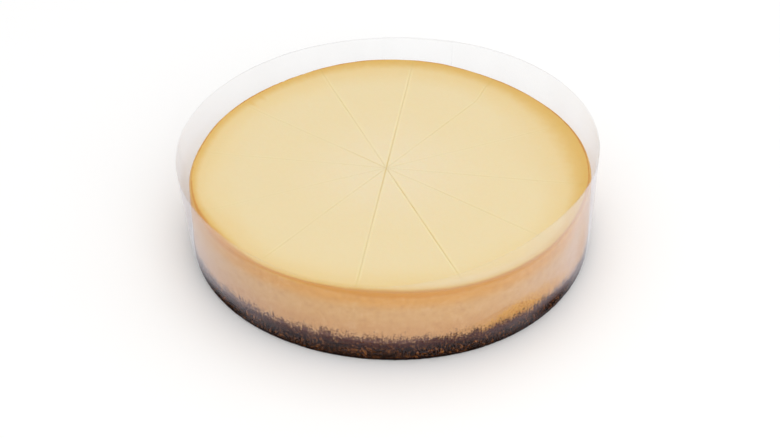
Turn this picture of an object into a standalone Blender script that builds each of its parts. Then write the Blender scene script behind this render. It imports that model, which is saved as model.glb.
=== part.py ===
# A round baked cheesecake, cut in twelve, inside a strip of clear film.
#
# It stands on the ground at Z = 0, with the middle of its bounding box over the origin. X runs to
# the right and Y runs to the back of the cake as it is served, all in metres. Each slice is two
# solids, the baked filling and the crumb base below it. The film is one open strip that goes once
# round the cake, and its ends lap over each other at the back.

import math
import random

import bmesh
import bpy
from mathutils import Vector

# Driving sizes of the cake

CAKE_CENTRE = (0.0018, 0.0)
CREST_HEIGHT = 0.0504
CREST_RADIUS = 0.1257
SHOULDER = 0.0018
FOOT_FLARE = 0.0023
FOOT_BEVEL = 0.0008
# The tin's dents, as waves round the rim: count in one turn, height of the wave, angle of its top
OUTLINE_WAVES = (
    (2, 0.00085, 15),
    (3, 0.00109, -118),
    (4, 0.00081, 47),
    (5, 0.00064, 68),
)
FOOT_WAVE_SHARE = 0.4

# The top, which sinks a little inside the browned rim

TOP_SINK = 0.0014
TOP_SINK_WIDTH = 0.0055
SHOULDER_STEPS = 3
SHOULDER_DROP = 0.0032
TOP_RINGS = (0.0, 0.35, 0.68, 0.86, 0.93, 0.97)
SIDE_ROWS = 2

# The crumb base

BASE_HEIGHT = 0.0100
LAYER_GAP = 0.0005
LAYER_WAVES = ((5, 0.0005, 20), (9, 0.0004, 75), (13, 0.0003, 140))
# Where crumbs climb the side: how far, angle of the middle, width in degrees
LAYER_BUMPS = ((0.0045, -116, 28), (0.0045, -68, 28), (0.0128, -56, 13))
WAVE_FADE = 3
CLIMB_FADE = 12
BASE_RINGS = (0.0, 0.5, 0.86, 0.96)
BASE_ROWS = 4
CRUMB_RELIEF = 0.00035
CRUMB_SEED = 12

# The cuts: where they cross, how wide the knife's slit is, and which way each stroke runs. Six
# strokes right across the cake make twelve slices.

CUT_CROSSING = (-0.0014, 0.0006)
KERF = 0.0005
STROKES = (-8, 22, 51.2, 81.5, 112.2, 143.5)

# The film

FILM_THICKNESS = 0.00035
FILM_FOOT = 0.0003
FILM_CLEARANCE = 0.0011
FILM_TOP_ABOVE_CREST = 0.0169
# Its top edge rises and falls: count in one turn, height of the wave, angle of its top
FILM_EDGE_WAVES = ((1, 0.0050, 30), (2, 0.0038, -34), (3, 0.0015, -130), (4, 0.0017, 165))
FILM_TOP_WAVE_SHARE = 0.9
# Where the film stands off the cake: how far, angle of the middle, width in degrees
FILM_STAND_OFF = ((0.0056, 180, 45), (0.0012, 0, 45), (0.0010, 90, 50))
FILM_FIRST_END = 71
FILM_LAP = 22
FILM_LAP_STEP = 0.0008

# How fine the surfaces are

CAKE_STEPS = 120
FILM_STEPS = 132
FILM_ROWS = 2
SMOOTH_BELOW = math.radians(40)
WELD = 1e-6
CUT_TOLERANCE = 1e-7

CAKE_MATERIALS = {
    "filling": ((0.83, 0.66, 0.38, 1.0), 0.55),
    "crumb_base": ((0.17, 0.07, 0.03, 1.0), 0.9),
}
FILM_COLOUR = (0.93, 0.92, 0.95, 0.3)
FILM_ROUGHNESS = 0.2


def clear_scene():
    for old in list(bpy.data.objects):
        bpy.data.objects.remove(old, do_unlink=True)


def make_material(name, colour, roughness, metallic=0.0):
    """A Principled material of one colour; a colour with a fourth value below 1 is see-through."""
    material = bpy.data.materials.new(name)
    material.use_nodes = True
    shader = material.node_tree.nodes["Principled BSDF"]
    shader.inputs["Base Color"].default_value = colour
    shader.inputs["Alpha"].default_value = colour[3]
    shader.inputs["Roughness"].default_value = roughness
    shader.inputs["Metallic"].default_value = metallic
    material.diffuse_color = colour
    return material


def wave_sum(waves, angle):
    """The height at this angle of waves given as count in one turn, height and angle of the top."""
    return sum(height * math.cos(count * angle - math.radians(top)) for count, height, top in waves)


def bump_sum(bumps, angle):
    """The height at this angle of round bumps given as height, angle of the middle and width."""
    total = 0.0
    for height, middle, width in bumps:
        away = (angle - math.radians(middle) + math.pi) % math.tau - math.pi
        total += height * math.exp(-((away / math.radians(width)) ** 2))
    return total


def wave_share(height):
    """How much of the rim's waves shows at this height: all at the crest, less at the foot."""
    return FOOT_WAVE_SHARE + (1.0 - FOOT_WAVE_SHARE) * height / CREST_HEIGHT


def top_height(radius):
    """The baked top: highest at the crest, and sunk a little further in."""
    return CREST_HEIGHT - TOP_SINK * (1.0 - math.exp(-(CREST_RADIUS - radius) / TOP_SINK_WIDTH))


def side_radius(height):
    """The side of an even cake: it widens slightly from below the shoulder to the foot."""
    return CREST_RADIUS + SHOULDER + (FOOT_FLARE - SHOULDER) * (1.0 - height / CREST_HEIGHT)


def layer_line(radius, angle):
    """The uneven line between the crumbs and the filling, flat in the middle of the cake."""
    share = radius / side_radius(BASE_HEIGHT)
    waves = wave_sum(LAYER_WAVES, angle) * share**WAVE_FADE
    return waves + bump_sum(LAYER_BUMPS, angle) * share**CLIMB_FADE


def rows_between(low, high, rows):
    """Heights from low to high, both left out."""
    return [low + (high - low) * row / rows for row in range(1, rows)]


def filling_profile():
    """Points (radius, height) down the filling's outer side, from the middle of the top."""
    points = [(share * CREST_RADIUS, top_height(share * CREST_RADIUS)) for share in TOP_RINGS]
    side_top = side_radius(CREST_HEIGHT - SHOULDER_DROP)
    for step in range(SHOULDER_STEPS + 1):
        turn = math.radians(90) * step / SHOULDER_STEPS
        out = (side_top - CREST_RADIUS) * math.sin(turn)
        points.append((CREST_RADIUS + out, CREST_HEIGHT - SHOULDER_DROP * (1.0 - math.cos(turn))))
    bottom = BASE_HEIGHT + LAYER_GAP / 2
    for height in reversed(rows_between(bottom, CREST_HEIGHT - SHOULDER_DROP, SIDE_ROWS)):
        points.append((side_radius(height), height))
    points.append((side_radius(bottom), bottom))
    points += [(share * CREST_RADIUS, bottom) for share in reversed(BASE_RINGS)]
    return points


def base_profile():
    """Points (radius, height) down the crumb base's outer side, from the middle of its top."""
    top = BASE_HEIGHT - LAYER_GAP / 2
    points = [(share * CREST_RADIUS, top) for share in BASE_RINGS]
    points.append((side_radius(top), top))
    for height in reversed(rows_between(FOOT_BEVEL, top, BASE_ROWS)):
        points.append((side_radius(height), height))
    points.append((side_radius(FOOT_BEVEL), FOOT_BEVEL))
    points.append((side_radius(0.0) - FOOT_BEVEL, 0.0))
    points += [(share * CREST_RADIUS, 0.0) for share in reversed(BASE_RINGS)]
    return points


def turned(profile):
    """A closed round body made by turning the profile once about the Z axis."""
    body = bmesh.new()
    line = [body.verts.new((radius, 0.0, height)) for radius, height in profile]
    edges = [body.edges.new(pair) for pair in zip(line, line[1:])]
    bmesh.ops.spin(
        body,
        geom=line + edges,
        cent=(0.0, 0.0, 0.0),
        axis=(0.0, 0.0, 1.0),
        angle=math.tau,
        steps=CAKE_STEPS,
        use_merge=True,
    )
    bmesh.ops.remove_doubles(body, verts=body.verts, dist=WELD)
    bmesh.ops.recalc_face_normals(body, faces=body.faces)
    return body


def press_into_shape(body, crumb_relief):
    """Gives an even body the tin's dents, the uneven layer line and, on its side, the crumbs."""
    draw = random.Random(CRUMB_SEED)
    for vert in body.verts:
        radius = math.hypot(vert.co.x, vert.co.y)
        angle = math.atan2(vert.co.y, vert.co.x)
        height = vert.co.z
        dent = wave_sum(OUTLINE_WAVES, angle) * wave_share(height) / CREST_RADIUS
        relief = draw.uniform(-1.0, 1.0) * crumb_relief
        on_side = radius > CREST_RADIUS and height > FOOT_BEVEL / 2
        stretch = 1.0 + dent + (relief / radius if on_side else 0.0)
        if abs(height - BASE_HEIGHT) < LAYER_GAP:
            vert.co.z += layer_line(radius, angle)
        vert.co.x = vert.co.x * stretch + CAKE_CENTRE[0]
        vert.co.y = vert.co.y * stretch + CAKE_CENTRE[1]


def keep_one_side(body, angle, side):
    """Cuts the body along one knife line and keeps the part to its left, or to its right."""
    away = Vector((math.sin(angle), -math.cos(angle), 0.0)) * side
    start = Vector((*CUT_CROSSING, 0.0)) - away * KERF / 2
    geometry = body.verts[:] + body.edges[:] + body.faces[:]
    bmesh.ops.bisect_plane(
        body, geom=geometry, dist=CUT_TOLERANCE, plane_co=start, plane_no=away, clear_outer=True
    )
    rim = [edge for edge in body.edges if edge.is_boundary]
    bmesh.ops.holes_fill(body, edges=rim)


def make_slice(name, whole, first, last, material, collection):
    """Adds one slice of a whole layer, between two knife lines."""
    piece = whole.copy()
    keep_one_side(piece, math.radians(first), 1.0)
    keep_one_side(piece, math.radians(last), -1.0)
    bmesh.ops.triangulate(piece, faces=piece.faces)
    bmesh.ops.recalc_face_normals(piece, faces=piece.faces)
    mesh = bpy.data.meshes.new(name)
    piece.to_mesh(mesh)
    piece.free()
    add_object(name, mesh, material, collection)


def add_object(name, mesh, material, collection):
    mesh.shade_smooth()
    mesh.set_sharp_from_angle(angle=SMOOTH_BELOW)
    mesh.materials.append(material)
    made = bpy.data.objects.new(name, mesh)
    collection.objects.link(made)
    return made


def make_slices(layer, profile, crumb_relief, collection):
    """All slices of one layer, named from the cut nearest +X and counted to the left."""
    whole = turned(profile)
    press_into_shape(whole, crumb_relief)
    colour, roughness = CAKE_MATERIALS[layer]
    material = make_material(layer, colour, roughness)
    cuts = STROKES + tuple(stroke + 180 for stroke in STROKES) + (STROKES[0] + 360,)
    for number, (first, last) in enumerate(zip(cuts, cuts[1:]), start=1):
        make_slice(f"{layer}_{number:02d}", whole, first, last, material, collection)
    whole.free()


def film_point(along, up):
    """A point of the film: along runs from 0 to 1 round the cake, up from 0 at the foot to 1."""
    turn = math.radians(360 + FILM_LAP) * along
    angle = math.radians(FILM_FIRST_END) + turn
    wave = wave_sum(OUTLINE_WAVES, angle)
    lap = FILM_LAP_STEP * turn / math.tau
    foot = side_radius(0.0) + FOOT_WAVE_SHARE * wave
    top = CREST_RADIUS + SHOULDER + FILM_TOP_WAVE_SHARE * wave + bump_sum(FILM_STAND_OFF, angle)
    radius = foot + (top - foot) * up + FILM_CLEARANCE + lap
    edge = CREST_HEIGHT + FILM_TOP_ABOVE_CREST + wave_sum(FILM_EDGE_WAVES, angle)
    return (
        CAKE_CENTRE[0] + radius * math.cos(angle),
        CAKE_CENTRE[1] + radius * math.sin(angle),
        FILM_FOOT + (edge - FILM_FOOT) * up,
    )


def make_film(collection):
    """The clear strip: a flat grid rolled round the cake, then given its thickness."""
    strip = bmesh.new()
    bmesh.ops.create_grid(strip, x_segments=FILM_STEPS, y_segments=FILM_ROWS, size=0.5)
    for vert in strip.verts:
        vert.co = film_point(vert.co.x + 0.5, vert.co.y + 0.5)
    bmesh.ops.recalc_face_normals(strip, faces=strip.faces)
    mesh = bpy.data.meshes.new("film_collar")
    strip.to_mesh(mesh)
    strip.free()
    material = make_material("film", FILM_COLOUR, FILM_ROUGHNESS)
    film = add_object("film_collar", mesh, material, collection)
    wall = film.modifiers.new("wall", "SOLIDIFY")
    wall.thickness = FILM_THICKNESS
    wall.offset = 0.0
    wall.use_even_offset = True


def main():
    clear_scene()
    collection = bpy.data.collections.new("cheesecake")
    bpy.context.scene.collection.children.link(collection)
    make_slices("crumb_base", base_profile(), CRUMB_RELIEF, collection)
    make_slices("filling", filling_profile(), 0.0, collection)
    make_film(collection)


main()
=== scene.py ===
# %% [markdown]
# # A round baked cheesecake inside a strip of clear film
#
# The real thing is a ten-inch cheesecake as catering kitchens buy it: a baked filling on pressed
# biscuit crumbs, cut into twelve slices that stay together, with a strip of clear film round them.
# The frame brings solids of the right size with plain surfaces. Here each solid gets a finished
# surface: a finer shape worked out with numpy from the same measures, and a material of nodes.
# This first cell loads the frame.

# %% Load the frame
import math

import bpy
import numpy as np
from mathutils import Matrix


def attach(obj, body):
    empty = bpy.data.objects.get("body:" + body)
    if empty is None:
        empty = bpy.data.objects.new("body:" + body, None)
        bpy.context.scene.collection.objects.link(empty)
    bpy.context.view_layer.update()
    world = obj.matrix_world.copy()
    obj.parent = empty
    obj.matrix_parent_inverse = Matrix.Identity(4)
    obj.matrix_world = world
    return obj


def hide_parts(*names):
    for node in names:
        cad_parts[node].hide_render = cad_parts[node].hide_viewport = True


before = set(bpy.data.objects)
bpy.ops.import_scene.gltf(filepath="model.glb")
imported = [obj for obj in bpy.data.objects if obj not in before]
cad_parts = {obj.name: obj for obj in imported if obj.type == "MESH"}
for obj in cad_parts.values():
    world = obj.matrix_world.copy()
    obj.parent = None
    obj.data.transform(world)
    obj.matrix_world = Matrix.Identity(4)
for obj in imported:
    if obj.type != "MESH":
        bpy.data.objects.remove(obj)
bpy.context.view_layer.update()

# %% [markdown]
# ## The camera
#
# A product photo of a cake is taken with a long lens from well above the rim, so that the top
# shows as a wide oval. The place, tilt and lens here were fitted to the outlines of the rim, the
# foot and the film, because a camera that is only guessed puts every later comparison off. The
# view transform is Standard: it shows a white floor as white and keeps the pale yellow honest.

# %% Camera and view transform
CAMERA_PLACE = (0.00236, -0.8765, 0.7007)
CAMERA_TILT = 51.669
CAMERA_TURN = 0.0888
CAMERA_LENS = 78.786
CAMERA_SENSOR = 36.0

camera_data = bpy.data.cameras.new("camera")
camera_data.lens = CAMERA_LENS
camera_data.sensor_width = CAMERA_SENSOR
camera = bpy.data.objects.new("camera", camera_data)
camera.location = CAMERA_PLACE
camera.rotation_euler = (math.radians(CAMERA_TILT), 0.0, math.radians(CAMERA_TURN))
bpy.context.scene.collection.objects.link(camera)
bpy.context.scene.camera = camera
bpy.context.scene.view_settings.view_transform = "Standard"
bpy.context.scene.view_settings.look = "None"
print("camera looks down by", 90 - CAMERA_TILT, "degrees")

# %% [markdown]
# ## Light and floor
#
# Food on white is lit softly from all round, so that nothing hides in a shadow and the film shows
# as a pale veil. A white world does most of it, one large soft lamp overhead at the back gives the
# top its light, and one from the front right gives the side some form. The floor is matt
# and pale; it also throws light up on the side of the cake.

# %% World, lamps and floor
WORLD_STRENGTH = 0.88
LAMPS = (
    # name, place, size, power, colour
    ("top_lamp", (0.12, 0.45, 1.30), 1.2, 3.6, (1.0, 0.99, 0.97)),
    ("front_lamp", (0.50, -1.22, 0.75), 1.1, 5.2, (1.0, 0.99, 0.98)),
)
FLOOR_HALF = 12.0
FLOOR_COLOUR = (0.93, 0.93, 0.93, 1.0)
FLOOR_ROUGHNESS = 0.75


def add_world(strength):
    """A plain white sky of this strength."""
    world = bpy.data.worlds.new("studio")
    world.use_nodes = True
    background = world.node_tree.nodes["Background"].inputs
    background["Color"].default_value = (1.0, 1.0, 1.0, 1.0)
    background["Strength"].default_value = strength
    bpy.context.scene.world = world


def add_lamp(name, place, size, power, colour):
    """A square soft lamp that points at the middle of the cake."""
    data = bpy.data.lights.new(name, "AREA")
    data.size = size
    data.energy = power
    data.color = colour
    lamp = bpy.data.objects.new(name, data)
    lamp.location = place
    lamp.rotation_mode = "QUATERNION"
    lamp.rotation_quaternion = (-lamp.location).to_track_quat("-Z", "Y")
    bpy.context.scene.collection.objects.link(lamp)


def add_floor():
    """A wide matt square just below the cake."""
    mesh = bpy.data.meshes.new("floor")
    corners = [(-1, -1), (1, -1), (1, 1), (-1, 1)]
    mesh.from_pydata([(FLOOR_HALF * x, FLOOR_HALF * y, 0.0) for x, y in corners], [], [(0, 1, 2, 3)])
    material = bpy.data.materials.new("floor")
    material.use_nodes = True
    shader = material.node_tree.nodes["Principled BSDF"]
    shader.inputs["Base Color"].default_value = FLOOR_COLOUR
    shader.inputs["Roughness"].default_value = FLOOR_ROUGHNESS
    mesh.materials.append(material)
    floor = bpy.data.objects.new("floor", mesh)
    bpy.context.scene.collection.objects.link(floor)


add_world(WORLD_STRENGTH)
for lamp_row in LAMPS:
    add_lamp(*lamp_row)
add_floor()
print("lamps:", [row[0] for row in LAMPS])

# %% [markdown]
# ## The measures of the cake
#
# The finer surfaces have to lie where the solids lie, so the same measures drive them: the height
# and radius of the crest, which is the highest ring of the rim, the slight flare of the side, the
# dents that the tin left in the outline, and the uneven line between crumbs and filling. Beside
# that line stand two that only guide the colours: how high dark crumbs stain the batter, and how
# high it is golden. Written as functions of numpy arrays, each gives a whole grid of points at once.

# %% Measures and the plain profile
CAKE_CENTRE = np.array((0.0018, 0.0))
CREST_HEIGHT = 0.0504
CREST_RADIUS = 0.1257
SHOULDER = 0.0018
SHOULDER_DROP = 0.0032
FOOT_FLARE = 0.0023
# count in one turn, height of the wave, angle of its top
OUTLINE_WAVES = ((2, 0.00085, 15), (3, 0.00109, -118), (4, 0.00081, 47), (5, 0.00064, 68))
FOOT_WAVE_SHARE = 0.4
# how much the crest draws in at the back, angle, width in degrees
BACK_TUCKS = ((0.0021, 72, 80), (0.0013, 168, 14))
TUCK_FADE = 3
TOP_SINK = 0.0014
TOP_SINK_WIDTH = 0.0055
BASE_HEIGHT = 0.0100
LAYER_WAVES = ((5, 0.0005, 20), (9, 0.0004, 75), (13, 0.0003, 140))
# how far dark crumbs climb the side, angle of the middle, width in degrees; then the golden ones
DARK_CLIMBS = ((0.0045, -116, 28), (0.0045, -68, 28))
GOLD_CLIMB = (0.0128, -56, 13)
# by how much dark crumbs stain the batter higher or lower, angle, width; how high it is golden
STAIN_REACH = ((0.0031, -88, 52), (-0.0022, -69, 11), (0.0016, -38, 14), (0.0018, -139, 13))
GOLD_REACH = ((0.0185, -50, 17), (0.0070, -28, 12))
WAVE_FADE = 3
CLIMB_FADE = 12
# the filling sits right on the crumbs, with only a hair between the two surfaces
LAYER_GAP = 0.00008


def waves(rows, angle):
    """The sum of cosine waves round the cake, each given as count, height and angle of its top."""
    return sum(height * np.cos(count * angle - math.radians(top)) for count, height, top in rows)


def bumps(rows, angle):
    """The sum of bell curves round the cake, each given as height, angle of the middle and width."""
    total = 0.0
    for height, middle, width in rows:
        away = (angle - math.radians(middle) + math.pi) % math.tau - math.pi
        total = total + height * np.exp(-((away / math.radians(width)) ** 2))
    return total


def top_height(radius):
    """The baked top: highest at the crest, and sinking by a falling exponential further in."""
    return CREST_HEIGHT - TOP_SINK * (1.0 - np.exp(-(CREST_RADIUS - radius) / TOP_SINK_WIDTH))


def side_radius(height):
    """The side of an even cake, a straight line that widens from the shoulder to the foot."""
    return CREST_RADIUS + SHOULDER + (FOOT_FLARE - SHOULDER) * (1.0 - height / CREST_HEIGHT)


def dented(radius, height, angle):
    """An even radius with the tin's dents: all of the waves at the crest, part of them below."""
    share = FOOT_WAVE_SHARE + (1.0 - FOOT_WAVE_SHARE) * height / CREST_HEIGHT
    tuck = bumps(BACK_TUCKS, angle) * (height / CREST_HEIGHT) ** TUCK_FADE
    return radius * (1.0 + waves(OUTLINE_WAVES, angle) * share / CREST_RADIUS) - tuck


print("even radius at the foot:", side_radius(0.0))

# %% [markdown]
# ## Noise made with numpy
#
# Baked things are uneven at every scale, so two kinds of noise are needed. Soft noise puts a random
# value on each crossing of a net and eases between them: it makes swells and wrinkles. Grain noise
# puts one random grain in each mesh of a net and gives the distance to the nearest grain: it makes
# crumbs. Both take whole arrays of coordinates and read their random values from a seeded table,
# so they come out the same each time.

# %% Noise helpers
NET = 512
FARTHER_THAN_ANY_GRAIN = 9.0


def ease(value):
    """Clips to 0..1 and smooths both ends: 3v² − 2v³."""
    value = np.clip(value, 0.0, 1.0)
    return value * value * (3.0 - 2.0 * value)


def soft_noise(x, y, seed):
    """Noise from −1 to 1 with one random value on each whole-number crossing, eased between."""
    table = np.random.default_rng(seed).uniform(-1.0, 1.0, (NET, NET))
    column, row = np.floor(x).astype(int), np.floor(y).astype(int)
    right, up = ease(x - column), ease(y - row)
    here, beside = column % NET, (column + 1) % NET
    low, high = (
        table[here, level % NET] * (1 - right) + table[beside, level % NET] * right
        for level in (row, row + 1)
    )
    return low * (1 - up) + high * up


def grain_noise(x, y, seed):
    """Distance to the nearest grain, one grain in each unit square, and that grain's own tone."""
    draw = np.random.default_rng(seed)
    across, along, tone = draw.uniform(0.0, 1.0, (3, NET, NET))
    column, row = np.floor(x).astype(int), np.floor(y).astype(int)
    nearest = np.full(np.shape(x), FARTHER_THAN_ANY_GRAIN)
    found = np.zeros(np.shape(x))
    for step_x in (-1, 0, 1):
        for step_y in (-1, 0, 1):
            c, r = (column + step_x) % NET, (row + step_y) % NET
            away = np.hypot(column + step_x + across[c, r] - x, row + step_y + along[c, r] - y)
            found = np.where(away < nearest, tone[c, r], found)
            nearest = np.minimum(away, nearest)
    return nearest, found


print("noise tables of", NET, "by", NET)

# %% [markdown]
# ## The line between crumbs and filling
#
# Seen from the side, the crumbs don't end in a clean line: they climb and fall by a few
# millimetres and their upper edge is ragged grain by grain. Both layers are made from one function
# for that line, so the filling always ends just where the crumbs begin. The lines for the colours
# need no rags, as noise in the material makes them.

# %% The layer line
# rags of the upper edge: height, length round the side, seed
RAGS = ((0.0006, 0.0070, 3), (0.00025, 0.0016, 4))
RAG_ROW = 0.5


def layer_line(share, angle):
    """The line's height: slow waves, climbing tongues, and rags that show only at the side."""
    slow = waves(LAYER_WAVES, angle) * share**WAVE_FADE
    climb = bumps(DARK_CLIMBS + (GOLD_CLIMB,), angle) * share**CLIMB_FADE
    round_side = angle * CREST_RADIUS
    rags = sum(
        size * soft_noise(round_side / length, RAG_ROW + 0 * angle, seed) for size, length, seed in RAGS
    )
    return BASE_HEIGHT + slow + climb + rags * share**CLIMB_FADE


def dark_line(angle):
    """How high dark crumbs stain the batter: slow waves, the dark climbs and a reach of its own."""
    return BASE_HEIGHT + waves(LAYER_WAVES, angle) + bumps(DARK_CLIMBS + STAIN_REACH, angle)


def gold_line(angle):
    """How high the golden tongue reaches: slow waves and the tongue's own bell curves."""
    return BASE_HEIGHT + waves(LAYER_WAVES, angle) + bumps(GOLD_REACH, angle)


print("line at the front:", layer_line(1.0, np.radians(np.array((-103.0, -56.0, 0.0)))))

# %% [markdown]
# ## A wedge as a bent block
#
# A slice has a top, a bottom, an outer side and two cut faces, and they must meet without a crack.
# The simplest way to get that is to think of a block of points with three counts: along from the
# tip to the rim, down from the top to the foot, and across from one cut to the next. A formula
# bends the block into a wedge, and the shell is the outside of the block: its five outer sheets
# share their edge points, so the mesh is closed by itself. The sixth sheet shrinks to the line
# at the tip.

# %% Shell of a block of points


def net_quads(net):
    """The squares of a net of point numbers, each taken down the rows and then along the columns."""
    corners = (net[:-1, :-1], net[1:, :-1], net[1:, 1:], net[:-1, 1:])
    return np.stack(corners, axis=-1).reshape(-1, 4)


def halved(quads):
    """Two triangles for each square."""
    return np.concatenate((quads[:, [0, 1, 2]], quads[:, [0, 2, 3]]))


def block_shell(shape):
    """Triangles over the outside of a block of points whose first layer is shrunk to a line.

    Each sheet is a net of point numbers. The bottom and the first cut face are turned over, so
    that every face looks outwards. Triangles that shrink to nothing at the tip are dropped.
    """
    block = np.arange(math.prod(shape)).reshape(shape)
    block[0] = block[0][:, :1]
    sheets = (block[:, 0], block[-1], block[:, -1].T, block[:, :, 0].T, block[:, :, -1])
    triangles = halved(np.concatenate([net_quads(net) for net in sheets]))
    first, second, third = triangles.T
    return triangles[(first != second) & (second != third) & (first != third)]


def add_mesh(name, points, triangles, attributes, material, smooth_below):
    """Makes a mesh object of the points that the triangles use, with their numbers on them."""
    used, triangles = np.unique(triangles, return_inverse=True)
    mesh = bpy.data.meshes.new(name)
    mesh.from_pydata(points.reshape(-1, 3)[used], [], triangles.reshape(-1, 3))
    for title, values in attributes.items():
        layer = mesh.attributes.new(title, "FLOAT", "POINT")
        layer.data.foreach_set("value", values.reshape(-1)[used].astype(np.float32))
    mesh.shade_smooth()
    mesh.set_sharp_from_angle(angle=math.radians(smooth_below))
    mesh.materials.append(material)
    made = bpy.data.objects.new(name, mesh)
    bpy.context.scene.collection.objects.link(made)
    return made


print("a block of 3 x 3 x 3 points has", len(block_shell((3, 3, 3))), "triangles")

# %% [markdown]
# ## The twelve cuts
#
# The knife went right across the cake six times. The cuts go all the way down, but the soft
# filling has closed again to a hair, so what shows is the skin beside them: it is drawn down at
# the cut, and in places it stands up in a low lip. Each of the twelve half lines therefore has its
# own strength at three stations and its own two lips. One stroke swerves near the rim, which is
# done last, by turning the points beside it about the crossing.

# %% Cuts
CUT_CROSSING = np.array((-0.0014, 0.0006))
CREASE_STATIONS = (0.010, 0.045, 0.100)
CUTS = (
    # angle, how strongly it shows at the three stations, height of the lip before it and after it
    (-8, 0.16, 0.22, 0.24, 0.4, 0.4),
    (22, 0.22, 0.16, 0.14, 0.4, 0.4),
    (51.2, 0.26, 0.36, 0.50, 0.5, 0.6),
    (81.5, 1.10, 0.45, 0.34, 0.9, 1.2),
    (112.2, 0.38, 0.42, 0.34, 0.9, 0.8),
    (143.5, 0.60, 0.20, 0.20, 0.5, 0.4),
    (172, 0.22, 0.14, 0.12, 0.3, 0.3),
    (202, 0.24, 0.15, 0.12, 0.3, 0.3),
    (231.2, 0.30, 0.25, 0.32, 0.5, 0.4),
    (261.5, 1.15, 0.44, 0.52, 0.8, 1.0),
    (292.2, 0.66, 0.82, 0.60, 1.2, 0.8),
    (323.5, 0.26, 0.36, 0.40, 0.5, 0.5),
)
# half a cut's opening: at least, and how much more for each unit of its middle station
OPEN_LEAST = 0.000004
OPEN_HALF = 0.000011
OUTLINE_ROUNDS = 4
SWERVE = (51.2, 2.7, 0.092, 0.118, 20)  # cut, degrees, start, end, degrees of cake that give way


def swerved(x, y):
    """Turns points about the crossing: most on the swerving cut, nothing at its neighbours."""
    cut, degrees, start, end, give = SWERVE
    x, y = x - CUT_CROSSING[0], y - CUT_CROSSING[1]
    angle, reach = np.arctan2(y, x), np.hypot(x, y)
    beside = ease(1.0 - np.abs(np.degrees(angle) - cut) / give)
    angle = angle + math.radians(degrees) * beside * ease((reach - start) / (end - start))
    return CUT_CROSSING[0] + reach * np.cos(angle), CUT_CROSSING[1] + reach * np.sin(angle)


def tip_between(first, last):
    """The slice's own tip: where its two cut faces meet, each half an opening from its cut."""
    a, b = math.radians(first[0]), math.radians(last[0])
    facing = np.array(((-math.sin(a), math.cos(a)), (math.sin(b), -math.cos(b))))
    gaps = OPEN_LEAST + OPEN_HALF * np.array((first[2], last[2]))
    return CUT_CROSSING + np.linalg.solve(facing, gaps)


def reach_to_outline(tip, direction, radius, height):
    """How far the outline at this height is from the tip: a circle is met, and met again with the
    dented radius of the place that was found, until it settles."""
    step = np.stack((np.cos(direction), np.sin(direction)))
    off = tip - CAKE_CENTRE
    along = off[0] * step[0] + off[1] * step[1]
    here = radius + 0 * direction
    for _ in range(OUTLINE_ROUNDS):
        reach = -along + np.sqrt(along**2 - off @ off + here**2)
        angle = np.arctan2(off[1] + reach * step[1], off[0] + reach * step[0])
        here = dented(radius, height, angle)
    return reach, angle


print("cuts:", [cut[0] for cut in CUTS])

# %% [markdown]
# ## The skin of the filling
#
# The top of a baked cheesecake is almost flat, but light shows slow swells, a crest at the rim
# where the batter clung to the tin, and fine wrinkles inside it. Every kind of relief is a small
# function that takes whole grids of points, so that the block can simply add them up. The side
# swells a little too, from just below the crest.

# %% Relief of the skin
SHOULDER_ROWS = 9
SIDE_ROWS = 32
# slow swells of the top: height, size, seed
SWELLS = ((0.00022, 0.034, 11), (0.00009, 0.012, 12), (0.00003, 0.0042, 13))
# wrinkles inside the rim: height, length round the rim, width, reach inwards, seed
RIM_WRINKLES = (0.00010, 0.009, 0.0022, 0.012, 14)
# folds at one place of the rim: height, spacing, length, reach, angle, width in degrees, seed
RIM_FOLDS = (0.00022, 0.0024, 0.012, 0.0075, 127, 13, 15)
# swells of the side: height, width, seed; they are taller than wide and start below the crest
SIDE_SWELLS = ((0.00025, 0.022, 21), (0.00008, 0.004, 22))
SIDE_SWELL_STRETCH = 2.5
SIDE_SWELL_START = 0.004
# beside a cut the skin falls by a sharp exponential, which also fades down the cut face
CREASE_DEPTH = 0.00014
CREASE_WIDTH = 0.00040
CREASE_FADE_DOWN = 0.0012
CREASE_UNEVEN = (0.85, 0.35, 0.009, 31)  # mean, how much it comes and goes, length, seed
CREASE_AT_RIM = (0.5, 0.095, 0.020)  # share that goes near the rim, where, over what length
# and it rises in a lip at this distance, which begins near the tip and ends before the rim
LIP_HEIGHT = 0.00012
LIP_AWAY = 0.0010
LIP_WIDTH = 0.0006
LIP_BEGINS = 0.004
LIP_ENDS = (0.118, 0.010)  # where, over what length


def filling_rows():
    """Heights and radii of the rows: a quarter ellipse over the shoulder, then the straight side."""
    turn = np.linspace(0.0, np.pi / 2, SHOULDER_ROWS)
    side_top = CREST_HEIGHT - SHOULDER_DROP
    over_shoulder = CREST_HEIGHT - SHOULDER_DROP * (1.0 - np.cos(turn))
    heights = np.concatenate((over_shoulder, np.linspace(side_top, BASE_HEIGHT, SIDE_ROWS)[1:]))
    out = CREST_RADIUS + (side_radius(side_top) - CREST_RADIUS) * np.sin(turn)
    radii = np.concatenate((out, side_radius(heights[SHOULDER_ROWS:])))
    return heights[None, :, None], radii[None, :, None]


def skin_relief(x, y, inward, rim_angle):
    """Relief of the top: swells, wrinkles that fade inwards, and the folds under a bell curve."""
    swell = sum(size * soft_noise(x / width, y / width, seed) for size, width, seed in SWELLS)
    round_rim = rim_angle * CREST_RADIUS + 0 * inward
    size, length, width, fade, seed = RIM_WRINKLES
    wrinkle = size * soft_noise(round_rim / length, inward / width, seed) * np.exp(-inward / fade)
    size, spacing, length, fade, middle, wide, seed = RIM_FOLDS
    there = bumps(((size, middle, wide),), rim_angle) * np.exp(-((inward / fade) ** 2))
    return swell + (wrinkle + there * soft_noise(round_rim / spacing, inward / length, seed))


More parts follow.
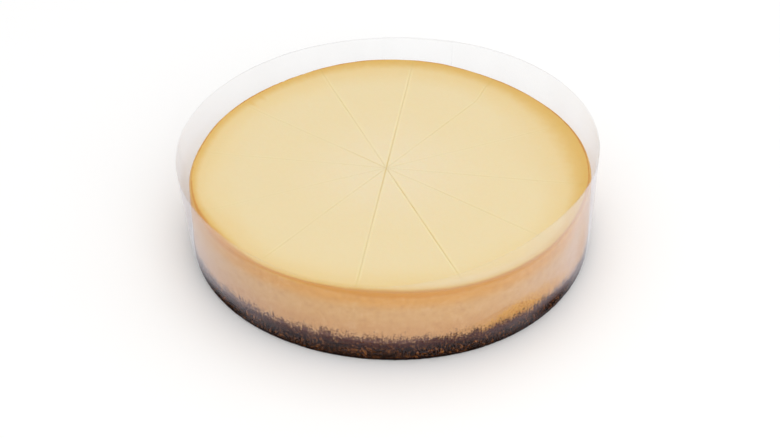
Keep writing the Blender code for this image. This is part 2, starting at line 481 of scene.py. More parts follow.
def crease(distance, cut, lip, reach):
    """The skin beside a cut, as how much it falls and how much it rises, both from 0 to 1.

    The fall is a sharp exponential at the cut, and the rise a low bell a millimetre away. Both
    come and go along the cut, and the fall is as strong as the cut's three stations say. The
    rise ends before the browned rim.
    """
    mean, uneven, length, seed = CREASE_UNEVEN
    comes_and_goes = mean + uneven * soft_noise(reach / length, cut[0] + 0 * reach, seed)
    share, start, over = CREASE_AT_RIM
    strength = np.interp(reach, CREASE_STATIONS, cut[1:4]) * (1.0 - share * ease((reach - start) / over))
    fall = strength * comes_and_goes * np.exp(-distance / CREASE_WIDTH)
    rise = lip * comes_and_goes * np.exp(-(((distance - LIP_AWAY) / LIP_WIDTH) ** 2))
    end, over = LIP_ENDS
    return fall, rise * ease(reach / LIP_BEGINS) * ease((end - reach) / over)


def cut_relief(first, last, reach, direction):
    """How much the skin falls and rises beside the slice's two cuts, whichever is stronger."""
    from_first = reach * np.sin(direction - math.radians(first[0]))
    from_last = reach * np.sin(math.radians(last[0]) - direction)
    fall_first, rise_first = crease(from_first, first, first[5], reach)
    fall_last, rise_last = crease(from_last, last, last[4], reach)
    return np.maximum(fall_first, fall_last), np.maximum(rise_first, rise_last)


def side_relief(z, rim_angle):
    """How far the side swells out, which begins a little below the crest."""
    round_side = rim_angle * CREST_RADIUS + 0 * z
    swell = sum(
        size * soft_noise(round_side / width, z / width / SIDE_SWELL_STRETCH, seed)
        for size, width, seed in SIDE_SWELLS
    )
    return swell * ease((CREST_HEIGHT - z) / SIDE_SWELL_START)


print("rows down the filling:", filling_rows()[0].size)

# %% [markdown]
# ## A slice of the filling
#
# The block's columns are packed close together at both cuts, by a cosine, because the creases are
# less than a millimetre wide. Numbers go with each point for the material: how far it is inwards
# from the crest and how deep below the skin, how high above the golden and the dark line, how
# much a cut draws it down or raises it, and how wide the browning, a mark of the tin and the
# brown line of the crest are at its angle.

# %% Block of filling
FILLING_ALONG = 96
FILLING_ACROSS = 96
SIDE_SWELL_FADE = 30
# how far the browning reaches in from the crest: everywhere, and where the oven was hotter
BAKE_WIDTH = 0.0042
BAKE_BUMPS = ((0.0088, 12, 30), (0.0028, 85, 40), (0.0014, -88, 22), (0.0020, 212, 10), (-0.0012, 192, 14))
# two short marks of the tin in the rim: how much further the browning runs in, angle, width
RIM_MARKS = ((0.0024, 137.8, 0.7), (0.0026, 142.3, 0.7))
# the brown line on the crest itself: everywhere, and where it is broader or finer
LINE_WIDTH = 0.0010
LINE_BUMPS = (
    (0.0033, -88, 22),
    (0.0010, -45, 25),
    (0.0026, -143, 12),
    (-0.0006, 10, 30),
    (-0.0006, 90, 45),
    (-0.0006, 165, 25),
)


def packed_at_ends(count):
    """Numbers from 0 to 1 that lie closer together towards both ends: (1 − cos πs) / 2."""
    return (1.0 - np.cos(np.pi * np.linspace(0.0, 1.0, count + 1))) / 2.0


def filling_block(first, last):
    """Points and numbers of one slice of filling, as blocks of along x down x across.

    Seen from above a point lies at a share of the way from the tip to the outline of its row. Its
    height is a share of the way from the layer line to the top.
    """
    tip = tip_between(first, last)
    along = packed_at_ends(FILLING_ALONG)[:, None, None]
    across = packed_at_ends(FILLING_ACROSS)[None, None, :]
    direction = np.radians(first[0] + (last[0] - first[0]) * across)
    heights, radii = filling_rows()
    reach, angle = reach_to_outline(tip, direction, radii, heights)
    crest_reach, rim_angle = reach[:, :1], angle[:, :1]

    bottom = layer_line(along, rim_angle) + LAYER_GAP / 2
    top = top_height(along * CREST_RADIUS)
    up_share = (heights - BASE_HEIGHT) / (CREST_HEIGHT - BASE_HEIGHT)
    x = tip[0] + along * reach * np.cos(direction)
    y = tip[1] + along * reach * np.sin(direction)
    z = bottom + (top - bottom) * up_share
    inward = (1.0 - along) * crest_reach
    under_top = top - z

    fall, rise = cut_relief(first, last, along * reach + 0 * z, direction)
    crossed = (LIP_HEIGHT * rise - CREASE_DEPTH * fall) * np.exp(-under_top / CREASE_FADE_DOWN)
    z = z + skin_relief(x, y, inward, rim_angle) * up_share + crossed
    push = side_relief(z, rim_angle) * along**SIDE_SWELL_FADE
    x, y = swerved(x + push * np.cos(direction), y + push * np.sin(direction))
    numbers = {
        "inward": inward + 0 * z,
        "depth": np.minimum(under_top, inward + 0 * z),
        "gold_rise": z - gold_line(rim_angle),
        "dark_rise": z - dark_line(rim_angle),
        "crease": fall,
        "lip": rise,
        "bake": BAKE_WIDTH + bumps(BAKE_BUMPS, rim_angle) + 0 * z,
        "mark": bumps(RIM_MARKS, rim_angle) + 0 * z,
        "line": LINE_WIDTH + bumps(LINE_BUMPS, rim_angle) + 0 * z,
    }
    return np.stack((x, y, z), axis=-1), numbers


test_points, _ = filling_block(CUTS[0], CUTS[1])
print("one slice of filling:", test_points.shape[:3], "points, highest", test_points[..., 2].max())

# %% [markdown]
# ## The crumb base
#
# Pressed crumbs show as grains from half a millimetre to two and a half millimetres, some of them
# standing proud. They are made as relief in a fine grid: each grain is a rounded cap from grain
# noise, in two sizes, laid over the side from the foot to the layer line. Every grain also gets
# its own tone, which goes to the material, so that one grain is dark and the next one golden.

# %% Crumb base shapes
BASE_ALONG = 14
BASE_ACROSS = 220
BASE_DOWN = 48
GRAINS = ((0.00038, 0.0015, 41), (0.00022, 0.0008, 42))  # how proud, size, seed
GRAIN_LOWEST = 0.4  # the darkest grain's cap, as a share of the lightest one's
GRAIN_WANDER = (0.15, 1.7, 5)  # how far grains are shifted, over how many grains, step in the seed
CAP_MEAN = 0.55
GRAIN_FADE = 0.0014
GRAIN_POWER = 60  # keeps the relief to the side
FOOT_ROUND = 0.0012


def grain_relief(round_side, height):
    """Rounded caps, one for each grain, summed over the sizes, and the tones of both sizes."""
    relief, tones = 0.0, []
    far, length, seed_step = GRAIN_WANDER
    for proud, size, seed in GRAINS:
        wander = far * soft_noise(round_side / size / length, height / size / length, seed + seed_step)
        away, tone = grain_noise(round_side / size + wander, height / size - wander, seed)
        cap = (GRAIN_LOWEST + (1.0 - GRAIN_LOWEST) * tone) * np.sqrt(np.clip(1.0 - away**2, 0.0, 1.0))
        relief = relief + proud * (cap - CAP_MEAN)
        tones.append(tone)
    return relief, *tones


def base_block(first, last):
    """Points and numbers of one slice of the crumb base, as blocks of along x down x across."""
    tip = tip_between(first, last)
    along = (1.0 - (1.0 - np.linspace(0.0, 1.0, BASE_ALONG + 1)) ** 2)[:, None, None]
    across = np.linspace(0.0, 1.0, BASE_ACROSS + 1)[None, None, :]
    direction = np.radians(first[0] + (last[0] - first[0]) * across)
    up_share = np.linspace(1.0, 0.0, BASE_DOWN + 1)[None, :, None]
    _, rim_angle = reach_to_outline(tip, direction, side_radius(BASE_HEIGHT), BASE_HEIGHT)
    top = layer_line(along, rim_angle) - LAYER_GAP / 2
    z = top * up_share
    height = top[-1:] * up_share
    reach, _ = reach_to_outline(tip, direction + 0 * height, side_radius(height), height)
    relief, tone, fine_tone = grain_relief(rim_angle * CREST_RADIUS + 0 * height, height)
    relief = relief * ease((top[-1:] - height) / GRAIN_FADE)
    foot = FOOT_ROUND * (1.0 - np.sqrt(1.0 - np.clip(1.0 - height / FOOT_ROUND, 0.0, 1.0) ** 2))
    out = along * (reach - foot) + relief * along**GRAIN_POWER
    x, y = swerved(tip[0] + out * np.cos(direction), tip[1] + out * np.sin(direction))
    numbers = {
        "tone": tone + 0 * z,
        "fine_tone": fine_tone + 0 * z,
        "relief": relief + 0 * z,
        "gold_rise": z - gold_line(rim_angle),
        "dark_rise": z - dark_line(rim_angle),
    }
    return np.stack((x, y, z), axis=-1), numbers


test_points, _ = base_block(CUTS[10], CUTS[11])
print("one slice of base:", test_points.shape[:3], "points, highest", test_points[..., 2].max())

# %% [markdown]
# ## Small helpers for materials
#
# A material of nodes is a sum written with boxes and wires. Short helpers keep it readable: they
# add a node, feed its inputs, do a sum, map one range to another, mix colours, make noise and read
# the numbers that lie on the points. Colours are written as a screen shows them, from 0 to 255,
# and turned into the light values that the renderer works with.

# %% Node helpers


def srgb(red, green, blue):
    """Screen values 0..255 to light values 0..1."""
    share = np.array((red, green, blue)) / 255.0
    light = np.where(share <= 0.04045, share / 12.92, ((share + 0.055) / 1.055) ** 2.4)
    return (*light.tolist(), 1.0)


def add_node(tree, kind, **settings):
    """A new node, with its settings."""
    made = tree.nodes.new("ShaderNode" + kind)
    for title, value in settings.items():
        setattr(made, title, value)
    return made


def plug(tree, value, socket):
    """Links another node's output to an input, or sets a plain value on it."""
    if isinstance(value, bpy.types.NodeSocket):
        tree.links.new(value, socket)
    else:
        socket.default_value = value


def feed(tree, node, **inputs):
    """Plugs values into inputs by name; an underscore in a name stands for a space."""
    for title, value in inputs.items():
        plug(tree, value, node.inputs[title.replace("_", " ")])
    return node


def sum_of(tree, operation, *values):
    """The result of one Math node."""
    made = add_node(tree, "Math", operation=operation)
    for socket, value in zip(made.inputs, values):
        plug(tree, value, socket)
    return made.outputs[0]


def added(tree, first, *others):
    """All of the values added up."""
    for other in others:
        first = sum_of(tree, "ADD", first, other)
    return first


def swing(tree, value, size):
    """Turns noise from 0 to 1 into an amount that swings round nothing, by half the size each way."""
    return sum_of(tree, "MULTIPLY_ADD", value, size, -size / 2)


def span(tree, value, low, high, start=0.0, end=1.0):
    """Maps low..high to start..end, smoothly, and stops there."""
    made = add_node(tree, "MapRange", interpolation_type="SMOOTHSTEP")
    feed(tree, made, Value=value, From_Min=low, From_Max=high, To_Min=start, To_Max=end)
    return made.outputs["Result"]


def mixed(tree, share, first, second):
    """A colour between two colours."""
    made = add_node(tree, "Mix", data_type="RGBA", clamp_factor=True)
    for socket, value in zip((made.inputs[0], made.inputs[6], made.inputs[7]), (share, first, second)):
        plug(tree, value, socket)
    return made.outputs[2]


def layered(tree, colour, values, rows):
    """Lays tones over a colour in turn. A row says what the tone goes by, the span, the tone."""
    for title, limits, tone in rows:
        colour = mixed(tree, span(tree, values[title], *limits), colour, tone)
    return colour


def number(tree, title):
    """One of the numbers that were put on the points."""
    return add_node(tree, "Attribute", attribute_name=title).outputs["Fac"]


def noise(tree, place, scale, detail, roughness=0.55, stretch=None):
    """Noise from 0 to 1 on Object coordinates; stretch pulls it along the axes."""
    if stretch:
        mapping = feed(tree, add_node(tree, "Mapping"), Vector=place, Scale=stretch)
        place = mapping.outputs["Vector"]
    made = add_node(tree, "TexNoise")
    feed(tree, made, Vector=place, Scale=scale, Detail=detail, Roughness=roughness)
    return made.outputs["Fac"]


def height_of(tree, place):
    """The height of a spot above the ground."""
    return feed(tree, add_node(tree, "SeparateXYZ"), Vector=place).outputs["Z"]


def add_bump(tree, shader, relief, strength, distance):
    """Lets the shader see this relief in the surface."""
    bump = feed(tree, add_node(tree, "Bump"), Strength=strength, Distance=distance, Height=relief)
    feed(tree, shader, Normal=bump.outputs["Normal"])


def new_material(name):
    """A material with a Principled shader: returns material, tree, shader, Object coordinates."""
    material = bpy.data.materials.new(name)
    material.use_nodes = True
    tree = material.node_tree
    place = add_node(tree, "TexCoord").outputs["Object"]
    return material, tree, tree.nodes["Principled BSDF"], place


def new_group(name, inputs, outputs):
    """An empty node group: returns its tree, the sockets it takes in and its output node."""
    tree = bpy.data.node_groups.new(name, "ShaderNodeTree")
    for title, kind in inputs:
        tree.interface.new_socket(name=title, in_out="INPUT", socket_type="NodeSocket" + kind)
    for title, kind in outputs:
        tree.interface.new_socket(name=title, in_out="OUTPUT", socket_type="NodeSocket" + kind)
    taken = tree.nodes.new("NodeGroupInput").outputs
    return tree, taken, tree.nodes.new("NodeGroupOutput")


print("cream in light values:", srgb(236, 217, 170))

# %% [markdown]
# ## Skin of the side, shared by both layers
#
# Filling and crumbs don't meet in a clean line. When the tin and the film were pulled off, batter
# and crumbs were dragged up and down, so the one turns into the other over a centimetre, in fine
# upright streaks. Both materials therefore use one node group for the side. From the height above
# the golden and the dark line it works out the tan of the batter, the golden tongue, and how much
# of a spot is dark crumbs. As both layers get the same answer, no seam shows where they meet.

# %% Group for the side
SIDE_HIGH = srgb(209, 156, 90)
SIDE_MIDDLE = srgb(206, 163, 111)
SIDE_LOW = srgb(201, 154, 104)
SIDE_DARK = srgb(178, 127, 80)
SIDE_PALE = srgb(218, 184, 146)
GOLD_LIGHT = srgb(208, 158, 88)
GOLD_DEEP = srgb(184, 124, 66)
# noises: scale, detail, roughness, and the stretch of those that stand upright
SIDE_MOTTLE = (190.0, 5.0, 0.70)
SIDE_PORES = (640.0, 3.0, 0.6)
SIDE_STREAKS = (780.0, 3.0, 0.55, (1.0, 1.0, 0.17))
SIDE_TONGUES = (130.0, 3.0, 0.55, (1.0, 1.0, 0.45))
SIDE_DUST = (700.0, 3.0, 0.6)
# rows for layered(): the span is from, to, and the tone's shares there
SIDE_TONES = (
    ("height", (0.046, 0.037), SIDE_MIDDLE),
    ("height", (0.034, 0.022), SIDE_LOW),
    ("mottle", (0.46, 0.74, 0.0, 0.34), SIDE_DARK),
    ("mottle", (0.50, 0.28, 0.0, 0.30), SIDE_PALE),
    ("pores", (0.50, 0.80, 0.0, 0.32), SIDE_DARK),
)
# by how much streaks, tongues and dust drag the lines up and down
DRAG_STREAKS = 0.011
DRAG_TONGUES = 0.010
DRAG_DUST = 0.018
DRAG_OF_GOLD = 0.9
# heights above a line over which crumbs and gold thin out
CRUMBS_THIN = (0.0058, -0.0050)
GOLD_THINS = (0.0018, -0.0030, 0.0, 0.95)
GOLD_ABOVE_DARK = (0.0, 0.0040)


def side_group():
    """Group: place, height above the golden and the dark line, to batter colour and crumbs."""
    takes = (("Place", "Vector"), ("Gold Rise", "Float"), ("Dark Rise", "Float"))
    tree, taken, gives = new_group("dragged_side", takes, (("Batter", "Color"), ("Crumbs", "Float")))
    place, gold_rise, dark_rise = taken["Place"], taken["Gold Rise"], taken["Dark Rise"]
    values = {
        "height": height_of(tree, place),
        "mottle": noise(tree, place, *SIDE_MOTTLE),
        "pores": noise(tree, place, *SIDE_PORES),
    }
    side = layered(tree, SIDE_HIGH, values, SIDE_TONES)
    dust = noise(tree, place, *SIDE_DUST)
    streaks = swing(tree, noise(tree, place, *SIDE_STREAKS), DRAG_STREAKS)
    tongues = swing(tree, noise(tree, place, *SIDE_TONGUES), DRAG_TONGUES)
    drag = added(tree, streaks, tongues, swing(tree, dust, DRAG_DUST))
    edge = sum_of(tree, "MULTIPLY_ADD", drag, DRAG_OF_GOLD, gold_rise)
    tongue = span(tree, sum_of(tree, "SUBTRACT", dark_rise, gold_rise), *GOLD_ABOVE_DARK)
    golden = sum_of(tree, "MULTIPLY", span(tree, edge, *GOLD_THINS), tongue)
    gold = mixed(tree, span(tree, dust, 0.44, 0.66), GOLD_LIGHT, GOLD_DEEP)
    batter = mixed(tree, golden, side, gold)
    crumbs = span(tree, added(tree, dark_rise, drag), *CRUMBS_THIN)
    feed(tree, gives, Batter=batter, Crumbs=crumbs)
    return tree


SIDE_GROUP = side_group()


def side_of(tree, place):
    """Places the group in a material, fed with the two heights that lie on the points."""
    placed = add_node(tree, "Group", node_tree=SIDE_GROUP)
    rises = {"Gold_Rise": number(tree, "gold_rise"), "Dark_Rise": number(tree, "dark_rise")}
    return feed(tree, placed, Place=place, **rises).outputs


print("side group:", len(SIDE_GROUP.nodes), "nodes")

# %% [markdown]
# ## Material of the filling
#
# One material does the whole slice. On the top it goes from pale cream in the middle to a warmer
# cream further out and gold near the rim, and the crest itself is a thin brown line. The side
# comes from the group. Inside, below the skin, the filling is plain pale cream. The numbers on the
# points say which of these a spot is, and noise makes every border uneven. Yellow food easily
# turns olive in the shade, so all tones lean to red.

# %% Filling material
TOP_CENTRE = srgb(226, 209, 172)
TOP_MIDDLE = srgb(225, 206, 161)
TOP_OUTER = srgb(226, 203, 150)
RIM_GOLD = srgb(214, 174, 93)
RIM_BROWN = srgb(195, 132, 58)
STUCK_CRUMB = srgb(76, 31, 24)
INSIDE_CREAM = srgb(232, 219, 188)
# painted shade in the cut creases, with a golden tint of the skin
CREASE_SHADE_AND_TINT = srgb(206, 172, 76)
# paler filling on the lips beside the cuts, partly a painted highlight on the raised lip
LIP_PALE_AND_HIGHLIGHT = srgb(246, 230, 182)
# noises: scale, detail, roughness
TOP_CLOUDS = (38.0, 3.0)
SKIN_GRAIN = (420.0, 4.0, 0.6)
SKIN_PORES = (900.0, 3.0, 0.6)
GOLD_RAGS = (210.0, 4.0, 0.65)
BROWN_RAGS = (260.0, 4.0, 0.65)
# how uneven the borders are: of the creams and of the brown line, and of the gold in bake widths
CREAM_UNEVEN = 0.020
BROWN_UNEVEN = 0.0016
GOLD_UNEVEN = 0.6
# gold goes by how many bake widths a spot is inwards
TOP_TONES = (
    ("inward", (0.120, 0.050), TOP_MIDDLE),
    ("inward", (0.034, 0.004), TOP_OUTER),
    ("grain", (0.35, 0.75, 0.0, 0.14), TOP_OUTER),
    ("broad gold", (4.6, 0.3, 0.0, 0.27), RIM_GOLD),
    ("core gold", (1.60, 0.10), RIM_GOLD),
)
BROWN_LINE = (1.80, 0.30, 0.0, 0.82)  # in line widths
DOWN_COUNTS = 2.2  # a step down from the crest counts as this many inwards
# spans of noise, then of depth below the crest, inside the rim and under the skin
INNER_SPECKS = (0.4, 0.7, 0.0, 0.3)
SIDE_BEGINS = (0.0002, 0.0016)
RIM_ENDS = (0.0006, 0.0)
SKIN_ENDS = (0.0004, 0.0028)
STUCK_SHARE = 0.97
LIP_PALE_AND_HIGHLIGHT_SHARE = 0.30
CREASE_SHADE_SHARE = 0.75


def top_colour(tree, place, inward, grain):
    """Cream that warms outwards, the oven's gold at the rim, painted shade in the cut creases and a pale
    lip tone that is partly painted highlight.
    """
    bake = number(tree, "bake")
    marked = sum_of(tree, "DIVIDE", inward, added(tree, bake, number(tree, "mark")))
    values = {
        "inward": added(tree, inward, swing(tree, noise(tree, place, *TOP_CLOUDS), CREAM_UNEVEN)),
        "grain": grain,
        "broad gold": sum_of(tree, "DIVIDE", inward, bake),
        "core gold": added(tree, marked, swing(tree, noise(tree, place, *GOLD_RAGS), GOLD_UNEVEN)),
    }
    top = layered(tree, TOP_CENTRE, values, TOP_TONES)
    # the lip tone is partly paler filling and partly a painted highlight on the raised lip
    top = mixed(tree, sum_of(tree, "MULTIPLY", number(tree, "lip"), LIP_PALE_AND_HIGHLIGHT_SHARE), top, LIP_PALE_AND_HIGHLIGHT)
    # painted shade where the skin falls into a cut, tinted golden
    return mixed(tree, sum_of(tree, "MULTIPLY", number(tree, "crease"), CREASE_SHADE_SHARE), top, CREASE_SHADE_AND_TINT)


def skin_colour(tree, place, grain):
    """The top's colour inside the rim, the side's below it, and the brown line between them."""
    inward = number(tree, "inward")
    below_crest = sum_of(tree, "SUBTRACT", CREST_HEIGHT, height_of(tree, place))
    side = side_of(tree, place)
    stuck = span(tree, side["Crumbs"], 0.0, 1.0, 0.0, STUCK_SHARE)
    on_side = mixed(tree, stuck, side["Batter"], STUCK_CRUMB)
    is_side = sum_of(
        tree, "MULTIPLY", span(tree, below_crest, *SIDE_BEGINS), span(tree, inward, *RIM_ENDS)
    )
    skin = mixed(tree, is_side, top_colour(tree, place, inward, grain), on_side)
    from_crest = sum_of(tree, "MULTIPLY_ADD", below_crest, DOWN_COUNTS, inward)
    from_crest = added(tree, from_crest, swing(tree, noise(tree, place, *BROWN_RAGS), BROWN_UNEVEN))
    share = sum_of(tree, "DIVIDE", from_crest, number(tree, "line"))
    return mixed(tree, span(tree, share, *BROWN_LINE), skin, RIM_BROWN)


def filling_material():
    """Skin outside and cream inside, satin, with light that goes a little way in."""
    material, tree, shader, place = new_material("filling")
    grain = noise(tree, place, *SKIN_GRAIN)
    inner = mixed(tree, span(tree, grain, *INNER_SPECKS), INSIDE_CREAM, TOP_MIDDLE)
    under_skin = span(tree, number(tree, "depth"), *SKIN_ENDS)
    feed(tree, shader, Base_Color=mixed(tree, under_skin, skin_colour(tree, place, grain), inner))
    feed(tree, shader, Roughness=span(tree, grain, 0.3, 0.7, 0.42, 0.60), Specular_IOR_Level=0.35)
    feed(tree, shader, Subsurface_Weight=0.12, Subsurface_Radius=(0.0040, 0.0022, 0.0010))
    feed(tree, shader, Subsurface_Scale=1.0)
    pores = noise(tree, place, *SKIN_PORES)
    relief = sum_of(tree, "MULTIPLY_ADD", pores, 0.35, sum_of(tree, "MULTIPLY", grain, 0.65))
    add_bump(tree, shader, relief, strength=0.35, distance=0.0004)
    return material


FILLING = filling_material()
print("filling material:", len(FILLING.node_tree.nodes), "nodes")

# %% [markdown]
# ## Material of the crumb base
#
# Biscuit crumbs bound with butter are dark brown, with some grains lighter. The grain's own tone
# from the relief picks the colour, so colour and shape agree. The hollows between the grains are
# painted darker as painted shade, and so are the lowest few millimetres at the foot, as painted
# shade near the ground. Higher up the crumbs are greasy and paler, and above that the group for
# the side lets the batter cover them, streak by streak.

# %% Crumb material
CRUMB_DARKEST_AND_SHADE = srgb(16, 7, 4)
CRUMB_DARK = srgb(34, 17, 9)
CRUMB_BROWN = srgb(82, 44, 20)
CRUMB_LIGHT = srgb(144, 90, 42)
CRUMB_GREASY = srgb(74, 38, 30)
CRUMB_GRAIN = (900.0, 4.0, 0.65)
# a spot's tone is made of the big grain's, the small grain's and noise
BIG_TONE = 0.45
SMALL_TONE = 0.55
GRAIN_TONE = 0.7
CRUMB_TONES = (
    ("tone", (0.15, 0.55), CRUMB_DARK),
    ("tone", (0.48, 0.78), CRUMB_BROWN),
    ("tone", (0.70, 0.95), CRUMB_LIGHT),
    # painted shade in the hollows between the grains
    ("relief", (0.0, -0.0003, 0.0, 0.6), CRUMB_DARKEST_AND_SHADE),
    ("dark_rise", (-0.0090, -0.0025, 0.0, 0.80), CRUMB_GREASY),
    # painted shade at the foot, darker towards the ground
    ("height", (0.0045, 0.0010, 0.0, 0.75), CRUMB_DARKEST_AND_SHADE),
)


def crumb_material():
    """Dark crumbs with lighter grains, matt, painted shade in the hollows and at the foot, and batter over
    them higher up.
    """
    material, tree, shader, place = new_material("crumb_base")
    grain = noise(tree, place, *CRUMB_GRAIN)
    tone = sum_of(tree, "MULTIPLY", number(tree, "tone"), BIG_TONE)
    tone = sum_of(tree, "MULTIPLY_ADD", number(tree, "fine_tone"), SMALL_TONE, tone)
    values = {title: number(tree, title) for title in ("relief", "dark_rise")}
    values["tone"] = added(tree, tone, swing(tree, grain, GRAIN_TONE))
    values["height"] = height_of(tree, place)
    colour = layered(tree, CRUMB_DARKEST_AND_SHADE, values, CRUMB_TONES)
    side = side_of(tree, place)
    colour = mixed(tree, span(tree, side["Crumbs"], 1.0, 0.0), colour, side["Batter"])
    feed(tree, shader, Base_Color=colour, Roughness=span(tree, grain, 0.3, 0.7, 0.72, 0.95))
    feed(tree, shader, Specular_IOR_Level=0.02)
    add_bump(tree, shader, grain, strength=0.6, distance=0.0004)
    return material


CRUMBS = crumb_material()
print("crumb material:", len(CRUMBS.node_tree.nodes), "nodes")

# %% [markdown]
# ## Put the slices in place
#
# Each finished slice stands for one solid of the frame, which is then no longer shown, and is
# hung under the empty of the root body.

# %% Slices
SMOOTH_FILLING = 50
SMOOTH_CRUMBS = 80


def add_slices(layer, make_block, material, smooth_below):
    """One piece for each slice of a layer, from the cut nearest +X and counted to the left."""
    last_cuts = CUTS[1:] + ((CUTS[0][0] + 360,) + CUTS[0][1:],)
    count = 0
    for order, (first, last) in enumerate(zip(CUTS, last_cuts), start=1):
        points, numbers = make_block(first, last)
        triangles = block_shell(points.shape[:3])
        name = f"{layer}_{order:02d}"
        piece = add_mesh(name + "_baked", points, triangles, numbers, material, smooth_below)
        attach(piece, "root")
        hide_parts(name)
        count += len(triangles)
    return count


print("filling triangles:", add_slices("filling", filling_block, FILLING, SMOOTH_FILLING))
print("base triangles:", add_slices("crumb_base", base_block, CRUMBS, SMOOTH_CRUMBS))

# %% [markdown]
# ## The film
#
# Cake film is a strip of clear plastic, a fifth of a millimetre thick, wound once round the cake
# and lapped over itself. It leans in a little where the cake is narrow, stands off a few
# millimetres on one side, and its upper edge rises and falls. The shape is a grid rolled into a
# spiral: its angle runs on past a full turn while its radius grows, so the ends lie over each
# other. A Solidify modifier gives it its thickness. How milky each point is comes with the grid:
# less where the film lies against the cake, and half for each layer where the ends lap.

# %% Film shape
FILM_THICKNESS = 0.0002
FILM_FOOT = 0.0003
FILM_CLEARANCE = 0.0011
FILM_TOP_ABOVE_CREST = 0.0169
FILM_EDGE_WAVES = ((1, 0.0050, 30), (2, 0.0038, -34), (3, 0.0015, -130), (4, 0.0017, 165))
FILM_BACK_DROP = (0.0016, 95, 90)  # how much lower its edge is at the back, angle, width
FILM_TOP_WAVE_SHARE = 0.9
FILM_STAND_OFF = ((0.0056, 180, 45), (0.0012, 0, 45), (0.0010, 90, 50))
FILM_FIRST_END = 71
FILM_LAP = 22
FILM_LAP_STEP = 0.0008
FILM_ROUND = 560
FILM_UP = 48
FILM_TALL = 0.07
FILM_RIPPLE = (0.00018, 0.016, 0.030, 51)  # height, length round, length up, seed
# how much milkier it is in some places: share, angle, width in degrees, the row at the back also
# carrying painted shade; and where the film is painted grey as shade
FILM_FOG_AND_BACK_SHADE = ((0.15, -27, 24), (-0.45, 12, 22), (-0.40, 172, 25), (1.30, 90, 60))
FILM_BACK_SHADE = (1.0, 90, 60)
# the share of the veil that each layer keeps in the lap, and the degrees over which that comes
LAP_VEIL = 0.5
LAP_EASE = 2.0
# the very ends are clearer: by how much, over how many degrees
END_CLEAR = 0.3
END_WIDTH = 0.1
# so is the upper edge: everywhere, and more in front, with angle and width
EDGE_CLEAR = 0.6
EDGE_CLEAR_IN_FRONT = (0.4, -90, 70)
# soft spots: angle, height, half width in degrees, half height, strength
FILM_MILK = (-68, 0.0588, 20, 0.0038, 0.065)
FILM_CONTACTS = (
    (-92, 0.0485, 42, 0.0070, 0.9),
    (-90, 0.0000, 400, 0.0100, 1.0),
    (-53, 0.0220, 15, 0.0080, 0.8),
    (-40, 0.0080, 14, 0.0080, 1.0),
    (-142, 0.0050, 18, 0.0070, 1.0),
    (-24, 0.0300, 5, 0.0240, 0.5),
)


def soft_spot(row, angle, z):
    """A soft spot on the film: a bell curve round the cake times a bell curve upwards."""
    middle, height, half_round, half_tall, strength = row
    return bumps(((strength, middle, half_round),), angle) * np.exp(-(((z - height) / half_tall) ** 2))


def film_veil(turn, angle, up, z):
    """How much of the film's veil each point keeps, how milky it is by itself, and how much painted shade
    it gets at the back.
    """
    into_lap = np.degrees(np.minimum(turn, turn[-1] - turn))
    single = LAP_VEIL + (1.0 - LAP_VEIL) * ease((into_lap - FILM_LAP) / LAP_EASE + 0.5)
    single = single - END_CLEAR * (into_lap < END_WIDTH)
    contact = (EDGE_CLEAR + bumps((EDGE_CLEAR_IN_FRONT,), angle)) * (up == 1.0) + 0 * z
    for row in FILM_CONTACTS:
        contact = np.maximum(contact, soft_spot(row, angle, z))
    return {
        "veil": (1.0 - contact) * (1.0 + bumps(FILM_FOG_AND_BACK_SHADE, angle)) * single,
        "milk": soft_spot(FILM_MILK, angle, z),
        "back_shade": bumps((FILM_BACK_SHADE,), angle) + 0 * z,
    }


def film_sheet():
    """Points and numbers of the strip, as a grid of round x up."""
    turn = np.radians(360 + FILM_LAP) * np.linspace(0.0, 1.0, FILM_ROUND + 1)[:, None]
    up = np.linspace(0.0, 1.0, FILM_UP + 1)[None, :]
    angle = math.radians(FILM_FIRST_END) + turn
    wave = waves(OUTLINE_WAVES, angle)
    foot = side_radius(0.0) + FOOT_WAVE_SHARE * wave
    top = CREST_RADIUS + SHOULDER + FILM_TOP_WAVE_SHARE * wave + bumps(FILM_STAND_OFF, angle)
    size, length, tall, seed = FILM_RIPPLE
    ripple = size * soft_noise(angle * CREST_RADIUS / length, up * FILM_TALL / tall, seed)
    radius = foot + (top - foot) * up + FILM_CLEARANCE + FILM_LAP_STEP * turn / math.tau + ripple
    edge = CREST_HEIGHT + FILM_TOP_ABOVE_CREST + waves(FILM_EDGE_WAVES, angle)
    edge = edge - bumps((FILM_BACK_DROP,), angle)
    x = CAKE_CENTRE[0] + radius * np.cos(angle)
    y = CAKE_CENTRE[1] + radius * np.sin(angle)
    z = FILM_FOOT + (edge - FILM_FOOT) * up
    return np.stack((x, y, z), axis=-1), film_veil(turn, angle, up, z)


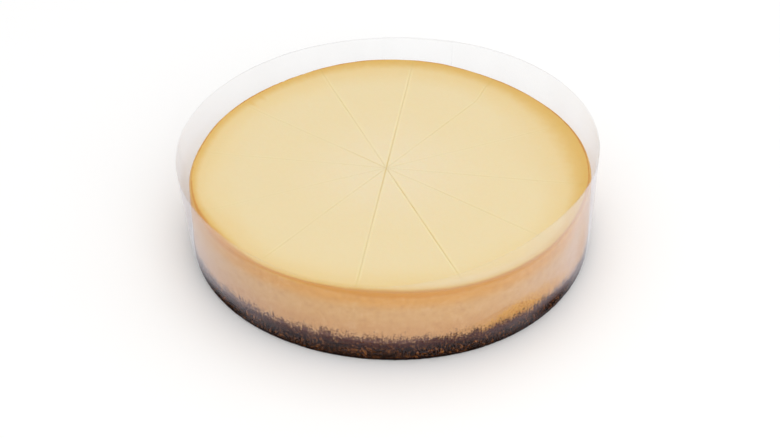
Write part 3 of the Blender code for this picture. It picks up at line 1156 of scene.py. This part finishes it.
film_points, film_numbers = film_sheet()
print("film:", film_points.shape[:2], "points, top edge up to", film_points[..., 2].max())

# %% [markdown]
# ## Material of the film
#
# Clear plastic shows in three ways: it mirrors the white room more the flatter one looks along it,
# it has a faint milky haze, and where it sticks to the moist cake both go away. So the alpha of
# the material is a sum: a cloudy haze and a steep rise towards grazing angles, the third power of
# how far the wall is turned away, both times what the point keeps of them, and the milkiness that
# a point has by itself. A look through the film meets both faces of its wall, so the values are
# low. Its tone is a pale lilac, and at the back it is mixed to grey as painted shade.

# %% Film material
FILM_VEIL = srgb(228, 228, 239)
# painted shade for the back of the film
FILM_PAINTED_SHADE = srgb(160, 162, 168)
FILM_CLOUDS = (30.0, 3.0, 0.5, (1.0, 1.0, 0.5))
FILM_HAZE = 0.010
HAZE_UNEVEN = (0.3, 0.7, 0.6, 1.4)
FILM_GRAZING = 0.55
GRAZING_POWER = 3.0


def film_material():
    """Clear, glossy plastic with a lilac veil and painted shade at the back."""
    material, tree, shader, place = new_material("film")
    facing = feed(tree, add_node(tree, "LayerWeight"), Blend=0.5).outputs["Facing"]
    grazing = sum_of(tree, "POWER", facing, GRAZING_POWER)
    cloud = noise(tree, place, *FILM_CLOUDS)
    haze = sum_of(tree, "MULTIPLY", span(tree, cloud, *HAZE_UNEVEN), FILM_HAZE)
    veil = sum_of(tree, "MULTIPLY_ADD", grazing, FILM_GRAZING, haze)
    alpha = sum_of(tree, "MULTIPLY_ADD", veil, number(tree, "veil"), number(tree, "milk"))
    # painted shade: the wall at the back is mixed to grey
    tone = mixed(tree, number(tree, "back_shade"), FILM_VEIL, FILM_PAINTED_SHADE)
    feed(tree, shader, Alpha=alpha, Base_Color=tone, IOR=1.5)
    feed(tree, shader, Roughness=span(tree, cloud, 0.3, 0.7, 0.10, 0.22))
    return material


FILM = film_material()
film_triangles = halved(net_quads(np.arange(film_points[..., 0].size).reshape(film_points.shape[:2])))
film = add_mesh("film_strip", film_points, film_triangles, film_numbers, FILM, 30)
wall = film.modifiers.new("wall", "SOLIDIFY")
wall.thickness = FILM_THICKNESS
wall.offset = 0.0
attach(film, "root")
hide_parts("film_collar")
print("film material:", len(FILM.node_tree.nodes), "nodes")
